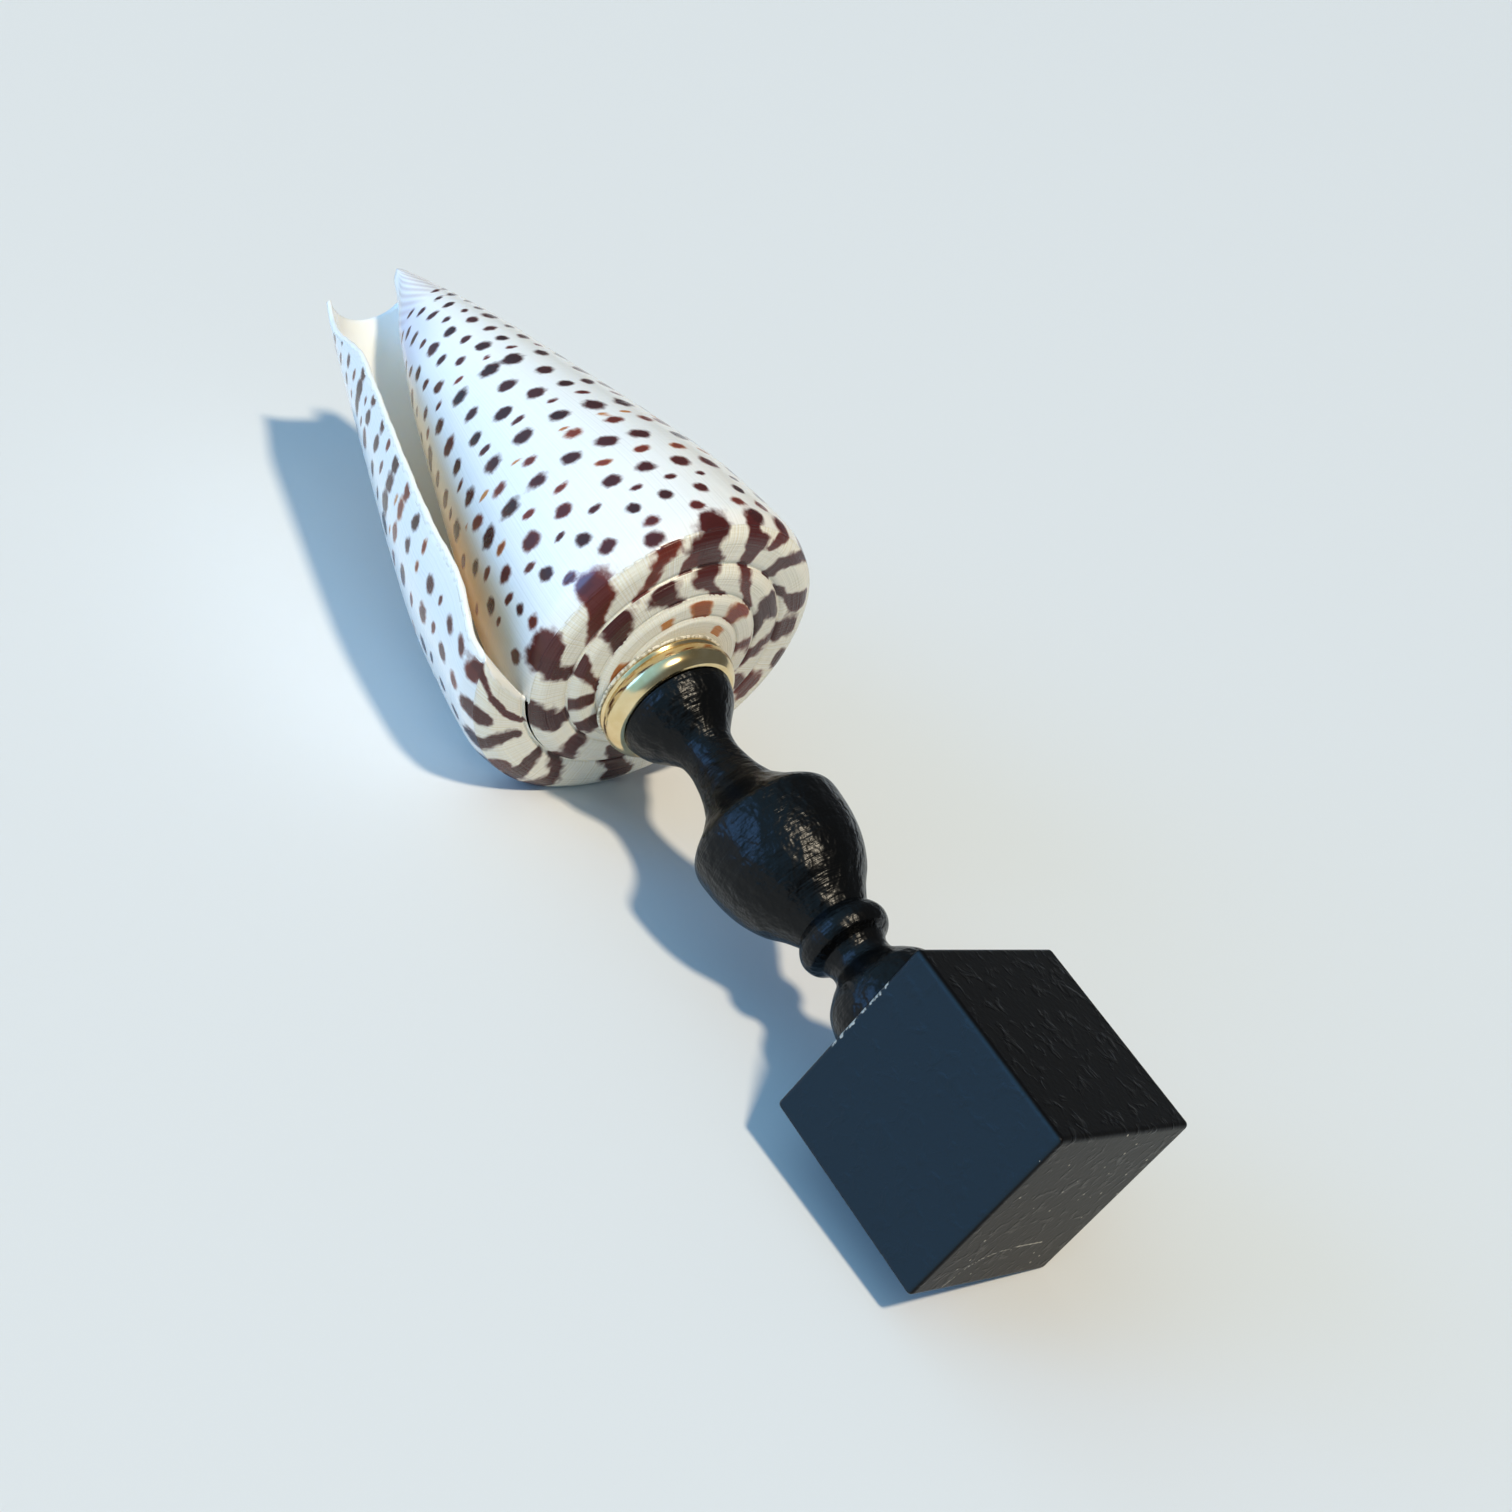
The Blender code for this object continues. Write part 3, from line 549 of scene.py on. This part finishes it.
# The spire has lost some of its gloss, and its growth lines stand up
roughness = add_node(tree, "ShaderNodeMapRange", {"To Min": 0.16, "To Max": 0.23}, {"Value": on_spire})
tree.links.new(roughness.outputs[0], shader.inputs["Roughness"])
relief = add_node(tree, "ShaderNodeMath", {"operation": "MULTIPLY_ADD", 1: 0.35}, {0: growth, 2: spiral})
relief_strength = add_node(tree, "ShaderNodeMapRange", {"To Min": 0.08, "To Max": 0.6}, {"Value": on_spire})
bump = add_node(tree, "ShaderNodeBump", {"Distance": 0.0004},
                {"Height": relief.outputs[0], "Strength": relief_strength.outputs[0]})
tree.links.new(bump.outputs["Normal"], shader.inputs["Normal"])
shell_mesh.materials.append(aragonite)
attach(cone_shell, "root")
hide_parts("shell")

# The brass ring
# A thin turned ring that hides the joint between shell and stem: a bulging band, and a narrow bead
# on its shell side. Yellow brass, machine polished, a little dulled by handling.
STEM_X = -1.2
STEM_Y = -0.6
RING_TOP = 122.1
RING_BOTTOM = 116.3
RING_BORE = 10.8
RING_BAND = [(13.05, 121.0), (13.6, 119.9), (13.65, 118.7), (13.1, 117.35), (12.1, RING_BOTTOM)]
RING_BEAD = [(12.3, RING_TOP), (13.0, 122.05), (13.35, 121.6), (13.05, 121.0)]
RING_SIDES = 180


def smooth_stretch(keys, pieces):
    """Return points on a smooth curve through (radius, height) keys, pieces to each gap."""
    steps = np.arange(len(keys), dtype=float)
    places = np.linspace(0.0, len(keys) - 1.0, (len(keys) - 1) * pieces + 1)
    return [(float(curve_value(list(zip(steps, [key[0] for key in keys])), place)),
             float(curve_value(list(zip(steps, [key[1] for key in keys])), place))) for place in places]


def turned_object(name, outline, sides, material, closed=False):
    """Turn an outline of (radius, height) about the stem's axis and lay it down as an object."""
    angles = np.radians(np.arange(sides) * 360.0 / sides)
    radius, height = np.array(outline).T
    rings = np.stack([STEM_X + radius[:, None] * np.cos(angles), STEM_Y + radius[:, None] * np.sin(angles),
                      np.broadcast_to(height[:, None], (len(radius), sides))], axis=-1)
    count = len(radius)
    faces = []
    for i in range(count if closed else count - 1):
        for j in range(sides):
            after, around = (i + 1) % count, (j + 1) % sides
            faces.append((i * sides + j, after * sides + j, after * sides + around, i * sides + around))
    if not closed:
        faces.append(tuple(range(sides)))
        faces.append(tuple(reversed(range((count - 1) * sides, count * sides))))
    mesh = bpy.data.meshes.new(name)
    mesh.from_pydata(lay_down(rings.reshape(-1, 3)).tolist(), [], faces)
    mesh.shade_smooth()
    mesh.set_sharp_from_angle(angle=math.radians(55.0))
    mesh.materials.append(material)
    item = bpy.data.objects.new(name, mesh)
    bpy.context.scene.collection.objects.link(item)
    return item


# Polished brass: a warm yellow metal with a faint haze and thin brown film in places
brass, tree, shader = new_finish("polished_brass")
shader.inputs["Metallic"].default_value = 1.0
place = add_node(tree, "ShaderNodeTexCoord").outputs["Object"]
film = add_node(tree, "ShaderNodeTexNoise", {"Scale": 1 / 0.006, "Detail": 4.0}, {"Vector": place})
tint = add_node(tree, "ShaderNodeValToRGB", {}, {"Fac": film.outputs["Fac"]})
tint.color_ramp.elements[0].position, tint.color_ramp.elements[0].color = 0.35, paint("#dfc28a")
tint.color_ramp.elements[1].position, tint.color_ramp.elements[1].color = 0.65, paint("#f5e0b2")
haze = add_node(tree, "ShaderNodeMapRange", {"To Min": 0.12, "To Max": 0.24}, {"Value": film.outputs["Fac"]})
tree.links.new(tint.outputs["Color"], shader.inputs["Base Color"])
tree.links.new(haze.outputs[0], shader.inputs["Roughness"])
ring_outline = smooth_stretch(RING_BEAD, 5) + smooth_stretch(RING_BAND, 7)[1:]
ring_outline += [(RING_BORE, RING_BOTTOM), (RING_BORE, RING_TOP)]
brass_ring = turned_object("turned_brass_ring", ring_outline, RING_SIDES, brass, closed=True)
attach(brass_ring, "root")
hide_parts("brass_ring")

# The glue
# A line of greyish glue squeezed out where the ring meets the spire, uneven in width, with dust in
# it. It sits on the spire all round the ring's upper edge.
GLUE_RADIUS = 13.3
GLUE_HEIGHT = 122.25
GLUE_THICKNESS = 0.3
GLUE_WIDENING = 1.3
GLUE_UNEVENNESS = 0.4
GLUE_SIDES = 180
GLUE_CORNERS = 8
glue_rings = []
for step in range(GLUE_SIDES):
    angle = math.radians(step * 360.0 / GLUE_SIDES)
    spread = 1.0 + GLUE_UNEVENNESS * noise.noise(Vector((math.cos(angle) * 3.0, math.sin(angle) * 3.0, 0.5)))
    for corner in range(GLUE_CORNERS):
        turned = math.radians(corner * 360.0 / GLUE_CORNERS)
        radius = GLUE_RADIUS + GLUE_THICKNESS * GLUE_WIDENING * spread * math.cos(turned)
        height = GLUE_HEIGHT + GLUE_THICKNESS * spread * math.sin(turned)
        glue_rings.append((STEM_X + radius * math.cos(angle), STEM_Y + radius * math.sin(angle), height))
glue_faces = []
for i in range(GLUE_SIDES):
    here, after = i * GLUE_CORNERS, (i + 1) % GLUE_SIDES * GLUE_CORNERS
    for j in range(GLUE_CORNERS):
        beside = (j + 1) % GLUE_CORNERS
        glue_faces.append((here + j, here + beside, after + beside, after + j))
glue_mesh = bpy.data.meshes.new("glue_line")
glue_mesh.from_pydata(lay_down(glue_rings).tolist(), [], glue_faces)
glue_mesh.shade_smooth()
glue_line = bpy.data.objects.new("glue_line", glue_mesh)
bpy.context.scene.collection.objects.link(glue_line)
# Dried glue: cloudy, half glossy, speckled with grey dust
glue, tree, shader = new_finish("dried_glue")
place = add_node(tree, "ShaderNodeTexCoord").outputs["Object"]
dust = add_node(tree, "ShaderNodeTexNoise", {"Scale": 1 / 0.0007, "Detail": 2.0}, {"Vector": place})
dusty = add_node(tree, "ShaderNodeValToRGB", {}, {"Fac": dust.outputs["Fac"]})
dusty.color_ramp.elements[0].position, dusty.color_ramp.elements[0].color = 0.38, paint("#a89f88")
dusty.color_ramp.elements[1].position, dusty.color_ramp.elements[1].color = 0.58, paint("#f0ead9")
tree.links.new(dusty.outputs["Color"], shader.inputs["Base Color"])
shader.inputs["Roughness"].default_value = 0.4
glue_mesh.materials.append(glue)
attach(glue_line, "root")

# The stem
# Turned wood with a thick hand-brushed coat of gloss black paint: a cup under the ring, a neck, a
# vase, a bead, a cove and a foot. The paint has dried with dimples, lumps and brush strokes.
STEM_TOP = 116.0
TENON_RADIUS = 10.5
STEM_FOOT = 39.5
CUP_AND_NECK = [(11.3, STEM_TOP), (10.8, 114.2), (9.8, 112.2), (7.4, 109.2), (5.7, 106.6), (5.2, 103.5),
                (5.5, 100.4), (6.3, 96.8), (7.7, 93.2)]
VASE = [(7.7, 93.2), (10.6, 89.8), (13.6, 87.0), (14.7, 85.3), (14.8, 82.6), (14.4, 78.2), (13.4, 74.0),
        (11.6, 70.0), (9.2, 66.7), (7.0, 63.0)]
BEAD = [(7.0, 63.0), (8.2, 61.2), (8.6, 59.5), (8.0, 57.7), (6.4, 56.5)]
COVE = [(6.4, 56.5), (5.7, 54.7), (6.1, 52.6), (8.4, 50.4)]
FOOT = [(8.4, 50.4), (10.2, 48.3), (11.2, 45.4), (11.5, 42.4), (11.8, STEM_FOOT)]
STEM_SIDES = 180
stem_outline = [(TENON_RADIUS, RING_TOP), (TENON_RADIUS, STEM_TOP)]
for stretch in (CUP_AND_NECK, VASE, BEAD, COVE, FOOT):
    pieces = smooth_stretch(stretch, 7)
    stem_outline += pieces[1:] if pieces[0] == stem_outline[-1] else pieces
# Gloss black paint: a thick skin with dimples about 2 mm wide and fine rings of brush strokes
gloss_paint, tree, shader = new_finish("gloss_black_paint")
place = add_node(tree, "ShaderNodeTexCoord").outputs["Object"]
dimples = add_node(tree, "ShaderNodeTexNoise", {"Scale": 1 / 0.0024, "Detail": 2.0, "Roughness": 0.5},
                   {"Vector": place})
# Brush strokes run round the stem: noise squeezed along the stem's axis
axis_turn = laid_down.to_3x3().inverted().to_euler()
upright = add_node(tree, "ShaderNodeMapping", {"vector_type": "POINT", "Rotation": tuple(axis_turn)},
                   {"Vector": place})
strokes_place = add_node(tree, "ShaderNodeMapping", {"Scale": (40.0, 40.0, 2600.0)},
                         {"Vector": upright.outputs["Vector"]})
strokes = add_node(tree, "ShaderNodeTexNoise", {"Scale": 1.0, "Detail": 3.0},
                   {"Vector": strokes_place.outputs[0]})
stroke_bump = add_node(tree, "ShaderNodeBump", {"Distance": 0.00025, "Strength": 0.45},
                       {"Height": strokes.outputs["Fac"]})
skin_bump = add_node(tree, "ShaderNodeBump", {"Distance": 0.0006, "Strength": 0.85},
                     {"Height": dimples.outputs["Fac"], "Normal": stroke_bump.outputs["Normal"]})
tree.links.new(skin_bump.outputs["Normal"], shader.inputs["Normal"])
shader.inputs["Base Color"].default_value = paint("#050505")
shader.inputs["Roughness"].default_value = 0.27
shader.inputs["Specular IOR Level"].default_value = 0.22
stem = turned_object("turned_stem", stem_outline, STEM_SIDES, gloss_paint)
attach(stem, "root")
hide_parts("stem")

# The block
# A sawn cube of wood under the stem, its edges worn round, with the same black paint laid on thickly
# and dried to a satin skin with bumps. Flakes are missing along the edge beside the stem.
BLOCK_WIDTH = 38.4
BLOCK_DEPTH = 40.8
BLOCK_HEIGHT = 39.2
BLOCK_EDGE_RADIUS = 0.9
BLOCK_GRID = 96
SCRATCH = [(-18.3, -11.8, 0.0), (-15.7, -10.9, 0.0), (-13.3, -9.7, 0.0), (-11.6, -7.6, 0.0),
           (-10.6, -4.6, 0.0), (-9.9, 0.6, 0.0), (-9.9, 8.8, 0.0)]
WORN_EDGE = [(-4.0, -20.2, 39.0), (11.0, -20.2, 39.0)]


def rounded_block():
    """Return the block's points on a fine grid over its six faces, and its faces."""
    half = np.array([BLOCK_WIDTH, BLOCK_DEPTH, BLOCK_HEIGHT]) / 2
    shares = np.linspace(-1.0, 1.0, BLOCK_GRID + 1)
    shares = np.sign(shares) * (1.0 - (1.0 - np.abs(shares)) ** 1.25)
    points, faces = [], []
    for axis in range(3):
        for side in (-1.0, 1.0):
            u, v = np.meshgrid(shares, shares, indexing="ij")
            cube = np.zeros(u.shape + (3,))
            cube[..., axis] = side
            cube[..., (axis + 1) % 3] = u
            cube[..., (axis + 2) % 3] = v
            spot_on = cube * half
            core = np.clip(spot_on, -(half - BLOCK_EDGE_RADIUS), half - BLOCK_EDGE_RADIUS)
            out = spot_on - core
            length = np.linalg.norm(out, axis=-1, keepdims=True)
            grid = core + out / length * BLOCK_EDGE_RADIUS
            index = np.arange(u.size).reshape(u.shape) + sum(len(p) for p in points)
            corners = (index[:-1, :-1], index[1:, :-1], index[1:, 1:], index[:-1, 1:])
            corners = corners if side > 0 else corners[::-1]
            faces.append(np.stack(corners, axis=-1).reshape(-1, 4))
            points.append(grid.reshape(-1, 3))
    return np.concatenate(points) + np.array([0.0, 0.0, BLOCK_HEIGHT / 2]), np.concatenate(faces)


def distance_to_line(points, line):
    """Return each point's distance to a line through a list of points."""
    nearest = np.full(len(points), 99.0)
    for start, end in zip(line[:-1], line[1:]):
        start, end = np.array(start), np.array(end)
        along = np.clip((points - start) @ (end - start) / np.sum((end - start) ** 2), 0.0, 1.0)
        nearest = np.minimum(nearest, np.linalg.norm(points - start - along[:, None] * (end - start), axis=1))
    return nearest


block_points, block_faces = rounded_block()
scratch_marks = distance_to_line(block_points, SCRATCH)
worn_marks = np.clip(1.3 - distance_to_line(block_points, WORN_EDGE) / 1.2, 0.0, 1.0)
end_face_marks = (block_points[:, 2] < 0.5).astype(float)
# Marks the block's -Y side, which gets a painted reflection: a blue-grey tint standing in for the sky it
# reflects
painted_reflection_marks = smooth_step((-block_points[:, 1] - BLOCK_DEPTH / 2 + 0.4) / 0.35)
block_mesh = bpy.data.meshes.new("painted_block")
block_mesh.from_pydata(lay_down(block_points).tolist(), [], block_faces.tolist())
for name, values in (("scratch", scratch_marks), ("worn", worn_marks), ("end_face", end_face_marks),
                     ("painted_reflection", painted_reflection_marks)):
    block_mesh.attributes.new(name, "FLOAT", "POINT").data.foreach_set("value", values.astype(np.float32))
form = bmesh.new()
form.from_mesh(block_mesh)
bmesh.ops.remove_doubles(form, verts=form.verts, dist=WELD_DISTANCE)
bmesh.ops.recalc_face_normals(form, faces=form.faces)
form.to_mesh(block_mesh)
form.free()
block_mesh.shade_smooth()
painted_block = bpy.data.objects.new("painted_block", block_mesh)
bpy.context.scene.collection.objects.link(painted_block)
# Satin black paint: a nearly flat skin with lumps of 1 to 3 mm, fine grain, and a few pale specks.
# One side is tinted blue-grey: a painted reflection of the blue sky, not the paint's own colour.
satin_paint, tree, shader = new_finish("satin_black_paint")
shader.inputs["Specular IOR Level"].default_value = 0.1
place = add_node(tree, "ShaderNodeTexCoord").outputs["Object"]
scratch = add_node(tree, "ShaderNodeAttribute", {"attribute_name": "scratch"}).outputs["Fac"]
worn = add_node(tree, "ShaderNodeAttribute", {"attribute_name": "worn"}).outputs["Fac"]
end_face = add_node(tree, "ShaderNodeAttribute", {"attribute_name": "end_face"}).outputs["Fac"]
painted_reflection = add_node(tree, "ShaderNodeAttribute", {"attribute_name": "painted_reflection"}).outputs["Fac"]
lump_field = add_node(tree, "ShaderNodeTexNoise", {"Scale": 1 / 0.0030, "Detail": 3.0, "Distortion": 0.6},
                      {"Vector": place})
lumps = add_node(tree, "ShaderNodeMapRange", {"interpolation_type": "SMOOTHSTEP", "From Min": 0.5,
                 "From Max": 0.75}, {"Value": lump_field.outputs["Fac"]})
grain = add_node(tree, "ShaderNodeTexNoise", {"Scale": 1 / 0.0009, "Detail": 2.0}, {"Vector": place})
grain_bump = add_node(tree, "ShaderNodeBump", {"Distance": 0.0001, "Strength": 0.4},
                      {"Height": grain.outputs["Fac"]})
lump_bump = add_node(tree, "ShaderNodeBump", {"Distance": 0.0005, "Strength": 0.22},
                     {"Height": lumps.outputs[0], "Normal": grain_bump.outputs["Normal"]})
tree.links.new(lump_bump.outputs["Normal"], shader.inputs["Normal"])
specks = add_node(tree, "ShaderNodeTexVoronoi", {"Scale": 1 / 0.003}, {"Vector": place})
near_speck = add_node(tree, "ShaderNodeMath", {"operation": "LESS_THAN", 1: 0.075},
                      {0: specks.outputs["Distance"]})
speck = add_node(tree, "ShaderNodeMath", {"operation": "MULTIPLY"}, {0: near_speck.outputs[0], 1: end_face})
# The scratch is 0.3 mm wide and broken; the worn edge shows pale primer in flakes of about 1 mm
broken = add_node(tree, "ShaderNodeMath", {"operation": "MULTIPLY_ADD", 1: 0.5}, {0: grain.outputs["Fac"],
                  2: scratch})
scratched = add_node(tree, "ShaderNodeMapRange", {"From Min": 0.48, "From Max": 0.3},
                     {"Value": broken.outputs[0]})
flake = add_node(tree, "ShaderNodeMath", {"operation": "MULTIPLY"}, {0: grain.outputs["Fac"], 1: worn})
flaked = add_node(tree, "ShaderNodeMapRange", {"From Min": 0.44, "From Max": 0.52},
                  {"Value": flake.outputs[0]})
bare_wood = add_node(tree, "ShaderNodeMath", {"operation": "MAXIMUM"},
                     {0: scratched.outputs[0], 1: flaked.outputs[0]})
pale = add_node(tree, "ShaderNodeMath", {"operation": "MAXIMUM"},
                {0: bare_wood.outputs[0], 1: speck.outputs[0]})
# Black paint, mixed toward blue-grey on the -Y side as a painted reflection of the sky
skin_and_reflection_colour = add_node(tree, "ShaderNodeMix", {"data_type": "RGBA", 6: paint("#0b0a0a"), 7: paint("#1e2b33")},
                       {0: painted_reflection})
paint_colour = add_node(tree, "ShaderNodeMix", {"data_type": "RGBA", 7: paint("#b3ac9e")},
                        {0: pale.outputs[0], 6: skin_and_reflection_colour.outputs[2]})
tree.links.new(paint_colour.outputs[2], shader.inputs["Base Color"])
gloss = add_node(tree, "ShaderNodeMapRange", {"To Min": 0.36, "To Max": 0.28}, {"Value": lumps.outputs[0]})
tree.links.new(gloss.outputs[0], shader.inputs["Roughness"])
block_mesh.materials.append(satin_paint)
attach(painted_block, "root")
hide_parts("base_block")

# The table
# A wide pale painted board under the ornament. It reaches far enough that nothing but the board is
# seen past the ornament.
TABLE_REACH = 9.0
TABLE_SIDES = 48
table_angles = np.radians(np.arange(TABLE_SIDES) * 360.0 / TABLE_SIDES)
table_points = [(TABLE_REACH * math.cos(a), TABLE_REACH * math.sin(a), 0.0) for a in table_angles]
table_mesh = bpy.data.meshes.new("pale_table")
table_mesh.from_pydata(table_points, [], [tuple(range(TABLE_SIDES))])
table_mesh.shade_smooth()
pale_table = bpy.data.objects.new("pale_table", table_mesh)
bpy.context.scene.collection.objects.link(pale_table)
board, tree, shader = new_finish("pale_painted_board")
shader.inputs["Base Color"].default_value = paint("#e4e4e2")
shader.inputs["Roughness"].default_value = 0.75
table_mesh.materials.append(board)

# The light
# Warm sun, high behind the camera's right shoulder, through thin haze that softens the shadows. They
# fall to the left, and the open sky fills them with blue.
SUN_TRAVEL = Vector((-0.38, 0.166, -0.91))
BLUE_DIRECTION = (-0.42, -0.87, 0.26)
DIM_SKY = (0.125, 0.14, 0.155, 1.0)
BLUE_STEPS = [(-0.15, 0.95, (0.38, 0.75, 1.08, 1.0)), (0.93, 0.985, (1.4, 3.1, 6.4, 1.0))]
sun_data = bpy.data.lights.new("hazy_sun", "SUN")
sun_data.energy = 2.42
sun_data.color = (1.0, 0.87, 0.67)
sun_data.angle = math.radians(5.5)
sun = bpy.data.objects.new("hazy_sun", sun_data)
sun.rotation_mode = "QUATERNION"
sun.rotation_quaternion = SUN_TRAVEL.to_track_quat("-Z", "Y")
bpy.context.scene.collection.objects.link(sun)
# The sky is open, bright and blue on the left, low behind the shell's lip, and dim elsewhere
sky = bpy.data.worlds.new("open_sky")
sky.use_nodes = True
tree = sky.node_tree
direction = add_node(tree, "ShaderNodeTexCoord").outputs["Generated"]
toward_blue = add_node(tree, "ShaderNodeVectorMath", {"operation": "DOT_PRODUCT", 1: BLUE_DIRECTION},
                       {0: direction})
sky_colour = None
for low, high, colour in BLUE_STEPS:
    share = add_node(tree, "ShaderNodeMapRange", {"interpolation_type": "SMOOTHSTEP", "From Min": low,
                     "From Max": high}, {"Value": toward_blue.outputs["Value"]})
    mixed = add_node(tree, "ShaderNodeMix", {"data_type": "RGBA", 6: DIM_SKY, 7: colour},
                     {0: share.outputs[0]})
    if sky_colour:
        tree.links.new(sky_colour, mixed.inputs[6])
    sky_colour = mixed.outputs[2]
tree.links.new(sky_colour, tree.nodes["Background"].inputs["Color"])
bpy.context.scene.world = sky
bpy.context.scene.view_settings.view_transform = "Standard"

# The camera
# It looks up the stem from beyond the block's underside and a little above the table, turned so that
# the shell points up and to the left, as in the photograph.
CAMERA_PLACE = (172.107, -322.433, -99.094)
CAMERA_RIGHT = (0.582257, 0.620196, -0.525674)
CAMERA_UP = (0.706287, -0.065632, 0.704877)
right, up = Vector(CAMERA_RIGHT), Vector(CAMERA_UP)
axes = Matrix((right, up, right.cross(up))).transposed().to_4x4()
camera_data = bpy.data.cameras.new("photo_camera")
camera_data.lens = 54.573
camera_data.sensor_width = 36.0
camera_data.clip_start = 0.01
camera = bpy.data.objects.new("photo_camera", camera_data)
camera.matrix_world = laid_down @ Matrix.Translation(Vector(CAMERA_PLACE) * MM) @ axes
bpy.context.scene.collection.objects.link(camera)
bpy.context.scene.camera = camera
